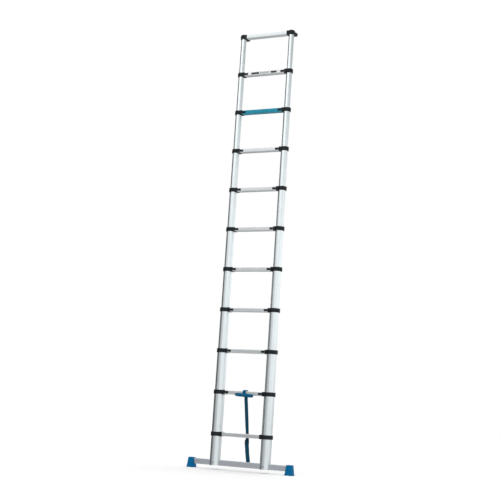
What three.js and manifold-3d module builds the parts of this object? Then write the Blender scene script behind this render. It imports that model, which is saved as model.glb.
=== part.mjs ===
// A fully extended telescoping ladder: ten pairs of nested stile tubes, eleven rungs, thumb latches,
// a stabiliser bar on two feet, and a carry strap whose T handle hangs on the second rung.
// Millimetres. +Z runs up the stiles, +X to the right, and the side that is climbed faces -Y.
// The origin lies on the plane of the two soles, midway between the stiles.
import * as THREE from "three";
import { mergeVertices } from "three/addons/utils/BufferGeometryUtils.js";
import Module from "manifold-3d";

const wasm = await Module();
wasm.setup();

// Driving dimensions
const STILE_SPACING = 395; // between the axes of the two stiles
const RUNG_PITCH = 300;
const FIRST_RUNG_Z = 250;
const SECTION_COUNT = 10;
const RUNG_COUNT = SECTION_COUNT + 1;
const GAP = 0.3; // between pieces that touch on the real ladder

// Stile tubes
const BASE_TUBE_RADIUS = 38;
const TUBE_RADIUS_STEP = 2;
const TUBE_WALL = 1.5;
const TUBE_SIDES = 16;
const TUBE_BOTTOM_Z = 26;
const TUBE_TOP_ABOVE_RUNG = 10.4;
const TUBE_OVERLAP = 95; // the length of each tube that stays inside the one below it

// Rungs and the connectors at their ends
const TREAD_DEPTH = 44;
const TREAD_HEIGHT = 28;
const TREAD_WALL = 2;
const COLLAR_HEIGHT = 29.5;
const COLLAR_WALL = 6;
const LIP_CLEARANCE = 0.4;
const SOCKET_LENGTH = 13;
const SOCKET_DEPTH = 48;
const SOCKET_HEIGHT = 32;
const SOCKET_REACH = 0.55; // how far the socket runs into its collar, as a share of the radius
const TREAD_IN_SOCKET = 5;
const CAP_DOME_HEIGHT = 10;
const CAP_PAD = { front: 8, face: 58, chamfer: 10, halfNeck: 20, halfWaist: 28, halfFace: 23 };
const CAP_PAD_HEIGHTS = [-9, 13]; // from the rung's own height

// Latches
const PIN_RADIUS = 4;
const PIN_HOLE_RADIUS = 4.6;
const LATCH_TRAVEL = 12;
const LATCH_TAB = { start: SOCKET_LENGTH + 1, end: 41, thickness: 3, height: 16 };
const LATCH_STEM = { start: 18, end: 25, height: 6 };

// Stabiliser bar and feet
const BAR = { halfLength: 396, depth: 25, bottom: 27, top: 67, wall: 2 };
const FOOT = { x: 385, soleWidth: 56, soleDepth: 60, topWidth: 43, topDepth: 44, height: 72 };
const SOLE_GROOVE = { places: [-18, 0, 18], width: 4, depth: 3 };
const BOLT = { z: 47, headRadius: 7, headHeight: 4.5, shankRadius: 4, holeRadius: 4.5 };

// Carry strap
const HANDLE = { x: 16, barLength: 142, barBottom: 522, barTop: 547, front: -50 };
const HOOK = { x: 12, width: 28, thickness: 5, topAboveRung: 23, rearDrop: 16, chamfer: 6, gap: 0.4 };
const STRAP_X = 32;
const STRAP_WIDTH = 27;
const LOWER_STRAP_WIDTH = 30;
const STRAP_THICKNESS = 1.6;
const BUCKLE = { x: 33, y: 26, z: 208, width: 35, depth: 8, height: 34 };
const BUCKLE_WINDOW = { level: 7, height: 8, rail: 4 };
const ANCHOR = { x: 58, z: 47, headRadius: 6, shankRadius: 2.5, holeRadius: 2.9 };

const stileX = STILE_SPACING / 2;
const treadBack = TREAD_DEPTH / 2;
const barBack = BAR.depth / 2;
const flatFacing = Math.PI / TUBE_SIDES; // turns a polygon so that flats face along X and Y
const SIDES = [
  { name: "left", sign: -1 },
  { name: "right", sign: 1 },
];

const two = (number) => String(number).padStart(2, "0");
const rungZ = (rung) => FIRST_RUNG_Z + RUNG_PITCH * (rung - 1);
const tubeRadius = (section) => BASE_TUBE_RADIUS - TUBE_RADIUS_STEP * (section - 1);
// Rung 1 is clamped round the base tube, and every other rung sits on top of the section below it.
const sectionUnderRung = (rung) => Math.max(1, rung - 1);

const finishes = {
  tube: { color: 0xd9dee3, roughness: 0.32, metalness: 0.9 },
  tread: { color: 0xc4c8cc, roughness: 0.38, metalness: 0.85 },
  blueTread: { color: 0x2685a2, roughness: 0.4, metalness: 0.1 },
  blackPlastic: { color: 0x14161b, roughness: 0.5, metalness: 0 },
  bluePlastic: { color: 0x0f5f92, roughness: 0.5, metalness: 0 },
  webbing: { color: 0x0b3b55, roughness: 0.9, metalness: 0 },
  steel: { color: 0x9a9ea3, roughness: 0.4, metalness: 1 },
};

// A closed geometry as a manifold solid.
function solid(geometry) {
  const bare = geometry.index ? geometry.toNonIndexed() : geometry.clone();
  bare.deleteAttribute("normal");
  bare.deleteAttribute("uv");
  const merged = mergeVertices(bare, 1e-3);
  return new wasm.Manifold(
    new wasm.Mesh({
      numProp: 3,
      vertProperties: new Float32Array(merged.attributes.position.array),
      triVerts: new Uint32Array(merged.index.array),
    }),
  );
}

function namedMesh(name, manifold, finish) {
  const made = manifold.getMesh();
  const geometry = new THREE.BufferGeometry();
  geometry.setAttribute("position", new THREE.BufferAttribute(made.vertProperties, 3));
  geometry.setIndex(new THREE.BufferAttribute(made.triVerts, 1));
  geometry.computeVertexNormals();
  const mesh = new THREE.Mesh(geometry, new THREE.MeshStandardMaterial(finish));
  mesh.name = name;
  return mesh;
}

// A box from its low and high corner.
function block([x0, y0, z0], [x1, y1, z1]) {
  const box = new THREE.BoxGeometry(x1 - x0, y1 - y0, z1 - z0);
  return solid(box.translate((x0 + x1) / 2, (y0 + y1) / 2, (z0 + z1) / 2));
}

// The same box on the other stile when sign is -1: x is measured from the middle of the ladder.
function sidedBlock(sign, [x0, y0, z0], [x1, y1, z1]) {
  const ends = [sign * x0, sign * x1].sort((a, b) => a - b);
  return block([ends[0], y0, z0], [ends[1], y1, z1]);
}

// A many-sided post standing on z0 round a stile axis at x.
function post(x, topRadius, bottomRadius, z0, z1) {
  const shape = new THREE.CylinderGeometry(topRadius, bottomRadius, z1 - z0, TUBE_SIDES);
  return solid(shape.rotateY(flatFacing).rotateX(Math.PI / 2).translate(x, 0, (z0 + z1) / 2));
}

const upright = (x, radius, z0, z1) => post(x, radius, radius, z0, z1);

// An eight-sided rod along X, and one along Y.
function rodAlongX(radius, x0, x1, y, z) {
  const shape = new THREE.CylinderGeometry(radius, radius, Math.abs(x1 - x0), 8);
  return solid(shape.rotateZ(Math.PI / 2).translate((x0 + x1) / 2, y, z));
}

function rodAlongY(radius, x, y0, y1, z, sides = 8) {
  const shape = new THREE.CylinderGeometry(radius, radius, y1 - y0, sides);
  return solid(shape.translate(x, (y0 + y1) / 2, z));
}

// An outline of [y, z] points carried along X from x0 to x1.
function extrudedAlongX(outline, x0, x1) {
  const shape = new THREE.Shape(outline.map(([y, z]) => new THREE.Vector2(y, z)));
  const body = new THREE.ExtrudeGeometry(shape, { depth: x1 - x0, bevelEnabled: false });
  // Turns the outline's (x, y) into (y, z), and its depth into x.
  const turn = new THREE.Matrix4().set(0, 0, 1, x0, 1, 0, 0, 0, 0, 1, 0, 0, 0, 0, 0, 1);
  return solid(body.applyMatrix4(turn));
}

// One stile tube. Its own latch pin passes near the top, and the pin of the rung below enters
// the lock hole in its overlapped lower end. The base tube is notched round the stabiliser bar.
function stileTube(section, sign) {
  const x = sign * stileX;
  const radius = tubeRadius(section);
  const ownRung = rungZ(section + 1);
  const top = ownRung + TUBE_TOP_ABOVE_RUNG;
  const bottom = section === 1 ? TUBE_BOTTOM_Z : top - RUNG_PITCH - TUBE_OVERLAP;
  let tube = upright(x, radius, bottom, top).subtract(
    upright(x, radius - TUBE_WALL, bottom - 1, top + 1),
  );
  const inwards = x - sign * (radius + 2);
  if (section < SECTION_COUNT) {
    tube = tube.subtract(rodAlongX(PIN_HOLE_RADIUS, x, inwards, 0, ownRung));
  }
  if (section > 1) {
    return tube.subtract(rodAlongX(PIN_HOLE_RADIUS, x, inwards, 0, rungZ(section)));
  }
  const halfNotch = barBack + GAP;
  return tube
    .subtract(
      block([x - radius - 1, -halfNotch, bottom - 1], [x + radius + 1, halfNotch, BAR.top + GAP]),
    )
    .subtract(rodAlongY(BOLT.holeRadius, x, -radius - 1, radius + 1, BOLT.z));
}

// The moulded connector round one stile: a collar, and the socket that holds the end of the tread.
function connector(rung, sign) {
  const x = sign * stileX;
  const z = rungZ(rung);
  const radius = tubeRadius(sectionUnderRung(rung));
  const socketEnd = stileX - radius - SOCKET_LENGTH;
  const socket = sidedBlock(
    sign,
    [socketEnd, -SOCKET_DEPTH / 2, z - SOCKET_HEIGHT / 2],
    [stileX - (1 - SOCKET_REACH) * radius, SOCKET_DEPTH / 2, z + SOCKET_HEIGHT / 2],
  );
  const half = COLLAR_HEIGHT / 2;
  const body = upright(x, radius + COLLAR_WALL, z - half, z + half).add(socket);
  return rung === RUNG_COUNT ? body.add(topCap(x, z, radius)) : body;
}

// The closed top of the last connector: a low dome, and the pad that leans on the wall behind.
function topCap(x, z, radius) {
  const outer = radius + COLLAR_WALL;
  const domeBase = z + COLLAR_HEIGHT / 2;
  const dome = post(x, outer - CAP_DOME_HEIGHT, outer, domeBase, domeBase + CAP_DOME_HEIGHT);
  const { front, face, chamfer, halfNeck, halfWaist, halfFace } = CAP_PAD;
  const plan = new THREE.Shape(
    [
      [-halfNeck, front],
      [halfNeck, front],
      [halfWaist, face - chamfer],
      [halfFace, face],
      [-halfFace, face],
      [-halfWaist, face - chamfer],
    ].map(([px, py]) => new THREE.Vector2(px, py)),
  );
  const [low, high] = CAP_PAD_HEIGHTS;
  const pad = new THREE.ExtrudeGeometry(plan, { depth: high - low, bevelEnabled: false });
  return dome.add(solid(pad.translate(x, 0, z + low)));
}

// What is bored out of a connector: the seat of the tube below it, and, where another tube slides
// through it, a closer hole that guides that tube.
function connectorBore(rung, sign) {
  const x = sign * stileX;
  const z = rungZ(rung);
  const section = sectionUnderRung(rung);
  const seat = tubeRadius(section) + GAP;
  if (rung === 1) return upright(x, seat, z - SOCKET_HEIGHT, z + SOCKET_HEIGHT);
  const bore = upright(x, seat, z - SOCKET_HEIGHT, z + TUBE_TOP_ABOVE_RUNG + GAP);
  if (rung === RUNG_COUNT) return bore;
  const guide = tubeRadius(section + 1) + LIP_CLEARANCE;
  return bore.add(upright(x, guide, z, z + SOCKET_HEIGHT));
}

// A rung: the hollow tread with its two connectors pressed on.
function rungFrame(rung) {
  const z = rungZ(rung);
  const radius = tubeRadius(sectionUnderRung(rung));
  const treadEnd = stileX - radius - SOCKET_LENGTH + TREAD_IN_SOCKET;
  const [y, h] = [TREAD_DEPTH / 2, TREAD_HEIGHT / 2];
  let frame = block([-treadEnd, -y, z - h], [treadEnd, y, z + h]);
  const hollowEnd = treadEnd - TREAD_IN_SOCKET - GAP;
  for (const { sign } of SIDES) frame = frame.add(connector(rung, sign));
  frame = frame.subtract(
    block(
      [-hollowEnd, -y + TREAD_WALL, z - h + TREAD_WALL],
      [hollowEnd, y - TREAD_WALL, z + h - TREAD_WALL],
    ),
  );
  for (const { sign } of SIDES) frame = frame.subtract(connectorBore(rung, sign));
  return hasLatch(rung) ? cutForLatches(frame, rung) : frame.subtract(drainHole(z));
}

const hasLatch = (rung) => rung > 1 && rung < RUNG_COUNT;

// The drain hole under a tread that has no latch slots.
function drainHole(z) {
  const hole = new THREE.CylinderGeometry(4, 4, 6, 8).rotateX(Math.PI / 2);
  return solid(hole.translate(0, 0, z - TREAD_HEIGHT / 2));
}

// The slots that the latch stems slide in, and the holes that the pins leave by.
function cutForLatches(frame, rung) {
  const z = rungZ(rung);
  const edge = stileX - tubeRadius(sectionUnderRung(rung));
  const half = LATCH_STEM.height / 2 + 0.5;
  let cut = frame;
  for (const { sign } of SIDES) {
    const slot = sidedBlock(
      sign,
      [edge - LATCH_STEM.end - LATCH_TRAVEL - 0.5, -treadBack - 1, z - half],
      [edge - LATCH_STEM.start + 0.5, -treadBack + TREAD_WALL + 1, z + half],
    );
    const hole = rodAlongX(
      PIN_HOLE_RADIUS,
      sign * (edge + 4),
      sign * (edge - SOCKET_LENGTH - 8),
      0,
      z,
    );
    cut = cut.subtract(slot).subtract(hole);
  }
  return cut;
}

// A thumb latch: the tab on the front of the tread, its stem, and the pin that reaches the stile.
function latch(rung, sign) {
  const z = rungZ(rung);
  const section = sectionUnderRung(rung);
  const edge = stileX - tubeRadius(section);
  const tabBack = -treadBack - GAP;
  const halfTab = LATCH_TAB.height / 2;
  const halfStem = LATCH_STEM.height / 2;
  const tab = sidedBlock(
    sign,
    [edge - LATCH_TAB.end, tabBack - LATCH_TAB.thickness, z - halfTab],
    [edge - LATCH_TAB.start, tabBack, z + halfTab],
  );
  const stem = sidedBlock(
    sign,
    [edge - LATCH_STEM.end, tabBack - 1, z - halfStem],
    [edge - LATCH_STEM.start, 2, z + halfStem],
  );
  const tip = stileX - tubeRadius(section + 1) - GAP;
  const pin = rodAlongX(PIN_RADIUS, sign * tip, sign * (edge - LATCH_STEM.end + 1), 0, z);
  return tab.add(stem).add(pin);
}

// The rectangular tube that widens the ladder's base.
function stabiliserBar() {
  const [y, wall] = [barBack, BAR.wall];
  let bar = block([-BAR.halfLength, -y, BAR.bottom], [BAR.halfLength, y, BAR.top]).subtract(
    block(
      [-BAR.halfLength - 1, -y + wall, BAR.bottom + wall],
      [BAR.halfLength + 1, y - wall, BAR.top - wall],
    ),
  );
  for (const { sign } of SIDES) {
    bar = bar.subtract(rodAlongY(BOLT.holeRadius, sign * stileX, -y - 1, y + 1, BOLT.z));
  }
  return bar.subtract(rodAlongY(ANCHOR.holeRadius, ANCHOR.x, y - wall - 1, y + 1, ANCHOR.z));
}

// A flared foot with grooves under its sole, and a socket for the end of the bar.
function foot(sign) {
  const { soleWidth, soleDepth, topWidth, topDepth, height } = FOOT;
  const shell = new THREE.BoxGeometry(soleWidth, soleDepth, height);
  const corner = shell.attributes.position;
  for (let i = 0; i < corner.count; i += 1) {
    if (corner.getZ(i) < 0) continue;
    corner.setX(i, (corner.getX(i) * topWidth) / soleWidth);
    corner.setY(i, (corner.getY(i) * topDepth) / soleDepth);
  }
  const x = sign * FOOT.x;
  const socketY = barBack + GAP;
  let body = solid(shell.translate(x, 0, height / 2)).subtract(
    sidedBlock(
      sign,
      [FOOT.x - soleWidth, -socketY, BAR.bottom - GAP],
      [BAR.halfLength + GAP, socketY, BAR.top + GAP],
    ),
  );
  const half = SOLE_GROOVE.width / 2;
  for (const y of SOLE_GROOVE.places) {
    body = body.subtract(
      block([x - soleWidth, y - half, -1], [x + soleWidth, y + half, SOLE_GROOVE.depth]),
    );
  }
  return body;
}

// The bolt that ties a base tube to the bar, with its head in front and its nut behind.
function stabiliserBolt(sign) {
  const x = sign * stileX;
  const face = BASE_TUBE_RADIUS * Math.cos(flatFacing) + GAP;
  const outer = face + BOLT.headHeight;
  const shank = rodAlongY(BOLT.shankRadius, x, -face - 1, face + 1, BOLT.z);
  const head = rodAlongY(BOLT.headRadius, x, -outer, -face, BOLT.z, 6);
  const nut = rodAlongY(BOLT.headRadius, x, face, outer, BOLT.z, 6);
  return shank.add(head).add(nut);
}

// The T handle: a rounded crossbar in front of the tread, and the hook that hangs over the tread.
function strapHandle() {
  const tread = { y: treadBack + HOOK.gap, top: rungZ(2) + TREAD_HEIGHT / 2 + HOOK.gap };
  const top = rungZ(2) + HOOK.topAboveRung;
  const outer = tread.y + HOOK.thickness;
  const inset = outer - HOOK.chamfer;
  const hook = extrudedAlongX(
    [
      [-outer, HANDLE.barBottom + 2],
      [-tread.y, HANDLE.barBottom + 2],
      [-tread.y, tread.top],
      [tread.y, tread.top],
      [tread.y, tread.top - HOOK.rearDrop],
      [outer, tread.top - HOOK.rearDrop],
      [outer, top - HOOK.chamfer],
      [inset, top],
      [-inset, top],
      [-outer, top - HOOK.chamfer],
    ],
    HOOK.x - HOOK.width / 2,
    HOOK.x + HOOK.width / 2,
  );
  const radius = (HANDLE.barTop - HANDLE.barBottom) / 2;
  const reach = HANDLE.barLength / 2 - radius;
  const outline = new THREE.Shape();
  outline.absarc(reach, 0, radius, -Math.PI / 2, Math.PI / 2);
  outline.absarc(-reach, 0, radius, Math.PI / 2, (3 * Math.PI) / 2);
  const depth = -outer + 1 - HANDLE.front;
  const bar = new THREE.ExtrudeGeometry(outline, { depth, bevelEnabled: false, curveSegments: 6 });
  bar.rotateX(Math.PI / 2);
  return hook.add(solid(bar.translate(HANDLE.x, -outer + 1, HANDLE.barBottom + radius)));
}

// A flat band of webbing that follows a path of [y, z] points at its mid thickness.
// It leans sideways by shift from its first point to its last.
function webbing(path, x, width, thickness, shift) {
  const offset = (side) =>
    path.map(([y, z], i) => {
      const [before, after] = [path[Math.max(0, i - 1)], path[Math.min(path.length - 1, i + 1)]];
      const along = new THREE.Vector2(after[0] - before[0], after[1] - before[1]).normalize();
      return [y - (along.y * side * thickness) / 2, z + (along.x * side * thickness) / 2];
    });
  const outline = [...offset(1), ...offset(-1).reverse()];
  const band = extrudedAlongX(outline, x - width / 2, x + width / 2);
  const [first, last] = [path[0][1], path[path.length - 1][1]];
  const slope = shift / (last - first);
  return band.warp((vertex) => {
    vertex[0] += slope * (vertex[2] - first);
  });
}

// From the handle's crossbar down and back, behind the first rung, to the buckle.
function upperStrap() {
  const end = BUCKLE.z + BUCKLE.height / 2 + GAP;
  const path = [
    [-33, HANDLE.barBottom - 2],
    [-20, 466],
    [8, 345],
    [20, 292],
    [25, 262],
    [BUCKLE.y, end],
  ];
  return webbing(path, STRAP_X, STRAP_WIDTH, STRAP_THICKNESS, BUCKLE.x - STRAP_X);
}

// From the buckle down to the back of the stabiliser bar, where a screw holds it.
function lowerStrap() {
  const start = BUCKLE.z - BUCKLE.height / 2 - GAP;
  const thickness = 2 * STRAP_THICKNESS;
  const onBar = barBack + GAP + thickness / 2;
  const path = [
    [BUCKLE.y, start],
    [22, 130],
    [onBar + 0.6, 76],
    [onBar, 66],
    [onBar, ANCHOR.z - 12],
  ];
  const band = webbing(path, BUCKLE.x, LOWER_STRAP_WIDTH, thickness, ANCHOR.x - BUCKLE.x);
  return band.subtract(rodAlongY(ANCHOR.holeRadius, ANCHOR.x, barBack, barBack + 8, ANCHOR.z));
}

// A frame buckle with a window either side of its middle bar.
function strapBuckle() {
  const { x, y, z, width, depth, height } = BUCKLE;
  const [w, d, h] = [width / 2, depth / 2, height / 2];
  let frame = block([x - w, y - d, z - h], [x + w, y + d, z + h]);
  const halfWindow = BUCKLE_WINDOW.height / 2;
  const side = w - BUCKLE_WINDOW.rail;
  for (const level of [z - BUCKLE_WINDOW.level, z + BUCKLE_WINDOW.level]) {
    frame = frame.subtract(
      block([x - side, y - d - 1, level - halfWindow], [x + side, y + d + 1, level + halfWindow]),
    );
  }
  return frame;
}

function strapAnchor() {
  const seat = barBack + 2 * GAP + 2 * STRAP_THICKNESS;
  const head = rodAlongY(ANCHOR.headRadius, ANCHOR.x, seat, seat + 3, ANCHOR.z);
  return head.add(rodAlongY(ANCHOR.shankRadius, ANCHOR.x, barBack - 6, seat + 1, ANCHOR.z));
}

const ladder = new THREE.Group();
const place = (name, manifold, finish) => ladder.add(namedMesh(name, manifold, finishes[finish]));

for (let section = 1; section <= SECTION_COUNT; section += 1) {
  for (const { name, sign } of SIDES) {
    place(`tube_${name}_${two(section)}`, stileTube(section, sign), "tube");
  }
}
for (let rung = 1; rung <= RUNG_COUNT; rung += 1) {
  place(`rung_${two(rung)}`, rungFrame(rung), rung === 9 ? "blueTread" : "tread");
  if (!hasLatch(rung)) continue;
  for (const { name, sign } of SIDES) {
    place(`latch_${name}_${two(rung)}`, latch(rung, sign), "blackPlastic");
  }
}
place("stabiliser_bar", stabiliserBar(), "tread");
for (const { name, sign } of SIDES) {
  place(`foot_${name}`, foot(sign), "bluePlastic");
  place(`stabiliser_bolt_${name}`, stabiliserBolt(sign), "steel");
}
place("strap_handle", strapHandle(), "bluePlastic");
place("strap_upper", upperStrap(), "webbing");
place("strap_buckle", strapBuckle(), "blackPlastic");
place("strap_lower", lowerStrap(), "webbing");
place("strap_anchor", strapAnchor(), "steel");

export default ladder;
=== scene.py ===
# A fully extended telescoping ladder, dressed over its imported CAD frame. Metres, +Z up the stiles.
import math

import bmesh
import bpy
import numpy as np
from mathutils import Matrix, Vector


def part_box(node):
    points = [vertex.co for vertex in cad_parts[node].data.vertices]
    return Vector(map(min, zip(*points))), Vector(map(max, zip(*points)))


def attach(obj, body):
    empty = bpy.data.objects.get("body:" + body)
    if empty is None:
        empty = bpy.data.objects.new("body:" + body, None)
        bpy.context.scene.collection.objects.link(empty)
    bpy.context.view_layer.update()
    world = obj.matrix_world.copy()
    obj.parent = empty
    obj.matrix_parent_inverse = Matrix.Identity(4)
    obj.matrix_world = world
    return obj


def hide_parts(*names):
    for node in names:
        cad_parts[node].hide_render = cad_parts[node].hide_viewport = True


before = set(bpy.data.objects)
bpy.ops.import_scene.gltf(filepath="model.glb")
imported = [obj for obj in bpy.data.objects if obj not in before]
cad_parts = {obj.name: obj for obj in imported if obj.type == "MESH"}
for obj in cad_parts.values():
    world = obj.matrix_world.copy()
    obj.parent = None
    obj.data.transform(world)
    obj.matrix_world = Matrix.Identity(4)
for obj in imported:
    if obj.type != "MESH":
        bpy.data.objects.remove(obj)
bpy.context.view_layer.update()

# ----------------------------------------------------------
# Stabiliser bar: a rectangular aluminium tube, drawn and cut to length, that runs through
# notches in the feet of both stiles and widens the ladder's base.
# ----------------------------------------------------------


def rounded_rectangle(width, height, radius, steps=6):
    """Points of a width by height rectangle round (0, 0), anticlockwise, whose corners are
    quarter circles: corner centre plus radius times the cosine and sine of the angle."""
    quarter = np.linspace(0, math.pi / 2, steps)
    points = []
    for turn, (sx, sy) in enumerate([(1, 1), (-1, 1), (-1, -1), (1, -1)]):
        angle = quarter + turn * math.pi / 2
        x = sx * (width / 2 - radius) + radius * np.cos(angle)
        y = sy * (height / 2 - radius) + radius * np.sin(angle)
        points.append(np.stack([x, y], axis=1))
    return np.concatenate(points)


def surface(name, grid, tube=False):
    """A mesh on grid[i, j], whose rows close on themselves: quads join each point to the next
    along j, which wraps round, and along i, which wraps too if tube. Otherwise each end row is
    one flat face."""
    rows, columns = grid.shape[:2]
    i = np.arange(rows if tube else rows - 1)[:, None]
    j = np.arange(columns)[None, :]
    after_i, after_j = (i + 1) % rows, (j + 1) % columns
    corners = [i * columns + j, i * columns + after_j]
    corners += [after_i * columns + after_j, after_i * columns + j]
    faces = np.stack(np.broadcast_arrays(*corners), axis=-1).reshape(-1, 4).tolist()
    if not tube:
        faces.append(list(range(columns))[::-1])
        faces.append(list(range((rows - 1) * columns, rows * columns)))
    mesh = bpy.data.meshes.new(name)
    mesh.from_pydata(grid.reshape(-1, 3).tolist(), [], faces)
    made = bmesh.new()
    made.from_mesh(mesh)
    bmesh.ops.recalc_face_normals(made, faces=made.faces)
    made.to_mesh(mesh)
    made.free()
    piece = bpy.data.objects.new(name, mesh)
    bpy.context.scene.collection.objects.link(piece)
    return piece


def soften(piece, angle=32):
    """Smooth shading with sharp edges where faces meet at more than the angle in degrees, and
    normals weighted by face area, so that flat faces stay flat beside rounded edges."""
    piece.data.shade_smooth()
    piece.data.set_sharp_from_angle(angle=math.radians(angle))
    weighted = piece.modifiers.new("weighted normals", "WEIGHTED_NORMAL")
    weighted.keep_sharp = True
    return piece


def carried(profile, places, axis):
    """A grid that carries a flat profile along X, Y or Z: row i is the profile, or its own one of
    a stack, at places[i]. The profile's two columns go to the other two axes, in X, Y, Z order."""
    profiles = np.broadcast_to(profile, (len(places), *profile.shape[-2:]))
    grid = np.empty((*profiles.shape[:2], 3))
    first, second = [k for k in range(3) if k != axis]
    grid[..., first] = profiles[..., 0]
    grid[..., second] = profiles[..., 1]
    grid[..., axis] = np.asarray(places)[:, None]
    return grid


def new_material(name, roughness, metallic):
    """A node material with its constants on the shader's own sockets."""
    made = bpy.data.materials.new(name)
    made.use_nodes = True
    shader = made.node_tree.nodes["Principled BSDF"]
    shader.inputs["Roughness"].default_value = roughness
    shader.inputs["Metallic"].default_value = metallic
    return made, made.node_tree, shader


def add_node(tree, kind, inputs=(), **settings):
    """A node with its settings, and with its inputs given by name: a value, or a socket to link."""
    node = tree.nodes.new(kind)
    for key, value in settings.items():
        setattr(node, key, value)
    for key, value in dict(inputs).items():
        if isinstance(value, bpy.types.NodeSocket):
            tree.links.new(value, node.inputs[key])
        else:
            node.inputs[key].default_value = value
    return node


def stretched_noise(tree, scale, detail=4.0):
    """Noise on the piece's own coordinates, with its own scale along X, Y and Z."""
    where = add_node(tree, "ShaderNodeTexCoord").outputs["Object"]
    mapped = add_node(tree, "ShaderNodeMapping", {"Vector": where, "Scale": scale})
    noise = add_node(
        tree,
        "ShaderNodeTexNoise",
        {"Vector": mapped.outputs["Vector"], "Scale": 1.0, "Detail": detail, "Roughness": 0.6},
    )
    return noise.outputs["Fac"]


def spread(tree, value, low, high, start=0.3, end=0.7):
    """Maps a value's start to end range onto low to high."""
    inputs = {"Value": value, "From Min": start, "From Max": end, "To Min": low, "To Max": high}
    return add_node(tree, "ShaderNodeMapRange", inputs).outputs["Result"]


def blend_colours(tree, factor, first, second):
    """The mix of two colours: the first where factor is 0, and the second where it is 1."""
    node = add_node(tree, "ShaderNodeMix", {"Factor": factor}, data_type="RGBA")
    node.inputs["A"].default_value = (*first, 1)
    node.inputs["B"].default_value = (*second, 1)
    return node.outputs["Result"]


def combine(tree, operation, first, second):
    """One value from two, by a sum, a product or another operation of the math node."""
    return add_node(tree, "ShaderNodeMath", {0: first, 1: second}, operation=operation).outputs[0]


def drawn_aluminium(name, dark, light, along, roughness=(0.26, 0.4), line_depth=0.00002):
    """Satin aluminium with fine lines along one axis: noise that is stretched 300 times that way
    shifts the colour, the roughness and the surface height, over broad faint cloudiness."""
    material, tree, shader = new_material(name, sum(roughness) / 2, 1.0)
    scale = [900.0, 900.0, 900.0]
    scale[along] = 3.0
    lines = stretched_noise(tree, scale)
    clouds = stretched_noise(tree, (14.0, 14.0, 14.0), 3.0)
    tint = spread(tree, combine(tree, "ADD", lines, clouds), 0.0, 1.0, 0.7, 1.3)
    tree.links.new(blend_colours(tree, tint, dark, light), shader.inputs["Base Color"])
    tree.links.new(spread(tree, lines, *roughness), shader.inputs["Roughness"])
    bump = add_node(
        tree, "ShaderNodeBump", {"Height": lines, "Distance": line_depth, "Strength": 0.6}
    )
    tree.links.new(bump.outputs["Normal"], shader.inputs["Normal"])
    return material


bar_low, bar_high = (np.array(corner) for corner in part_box("stabiliser_bar"))
BAR_WALL = 0.002
BAR_CORNER = 0.003
bar_depth, bar_height = bar_high[1] - bar_low[1], bar_high[2] - bar_low[2]
bar_middle_z = (bar_low[2] + bar_high[2]) / 2
bar_aluminium = drawn_aluminium(
    "bar aluminium", (0.50, 0.53, 0.575), (0.58, 0.61, 0.655), along=0, roughness=(0.34, 0.5)
)


def hollow_bar(name, width, height, corner, wall, ends):
    """A rectangular tube along X: its outer profile from end to end, then its inner one back."""
    outer = rounded_rectangle(width, height, corner)
    inner = rounded_rectangle(width - 2 * wall, height - 2 * wall, corner / 2)
    profiles = np.stack([outer, outer, inner, inner])
    return surface(name, carried(profiles, [ends[0], ends[1], ends[1], ends[0]], 0), tube=True)


def shift(piece, x=0.0, y=0.0, z=0.0):
    """Moves the mesh, and leaves the object at the origin."""
    places = np.empty(len(piece.data.vertices) * 3, dtype=np.float32)
    piece.data.vertices.foreach_get("co", places)
    places = places.reshape(-1, 3) + np.array([x, y, z], dtype=np.float32)
    piece.data.vertices.foreach_set("co", places.ravel())
    piece.data.update()
    return piece


def finish_piece(piece, material, body, slot, *nodes):
    """Gives a piece its material and its CAD body, and hides the nodes it replaces. The slot
    argument is not used.
    """
    piece.data.materials.clear()
    piece.data.materials.append(material)
    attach(piece, body)
    if nodes:
        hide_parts(*nodes)
    return piece


bar = hollow_bar(
    "stabiliser_bar_tube", bar_depth, bar_height, BAR_CORNER, BAR_WALL, (bar_low[0], bar_high[0])
)
soften(shift(bar, z=bar_middle_z))
finish_piece(bar, bar_aluminium, "section_01", "bar_aluminium", "stabiliser_bar")

# ----------------------------------------------------------
# Feet: flared blocks of blue rubber, moulded with a socket and pressed over the bar's ends.
# A thicker band runs round the sole, and grooves under it shed water.
# ----------------------------------------------------------
FOOT_SOLE = (0.056, 0.060)
FOOT_TOP = (0.043, 0.044)
FOOT_CORNER = 0.0045
FOOT_EDGE = 0.0035
FOOT_BAND_HEIGHT = 0.011
FOOT_BAND_INSET = 0.0012
SOLE_EDGE = 0.0015
FOOT_GROOVES = (-0.018, 0.0, 0.018)
GROOVE_HALF_WIDTH, SOLE_GROOVE_DEPTH = 0.002, 0.003
SOCKET_GAP = 0.0003
PAST = 0.01  # how far a cutter runs on past what it cuts


def rounded_box(name, low, high, edge, corner=None, steps=5):
    """A box with rounded edges, as a stack of rounded rectangles along Z: over the first and last
    edge of height, each is inset by edge times one minus the sine of a quarter turn's angle."""
    low, high = np.minimum(low, high), np.maximum(low, high)
    size, middle = high - low, (high + low) / 2
    corner = edge * 1.15 if corner is None else corner
    turn = np.linspace(0, math.pi / 2, steps)
    inset = np.concatenate([edge * (1 - np.sin(turn)), edge * (1 - np.sin(turn[::-1]))])
    rise = np.concatenate([edge * (1 - np.cos(turn)), size[2] - edge * (1 - np.cos(turn[::-1]))])
    rows = [
        rounded_rectangle(size[0] - 2 * d, size[1] - 2 * d, max(corner - d, edge * 0.08))
        for d in inset
    ]
    return shift(surface(name, carried(np.stack(rows), low[2] + rise, 2)), middle[0], middle[1])


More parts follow.
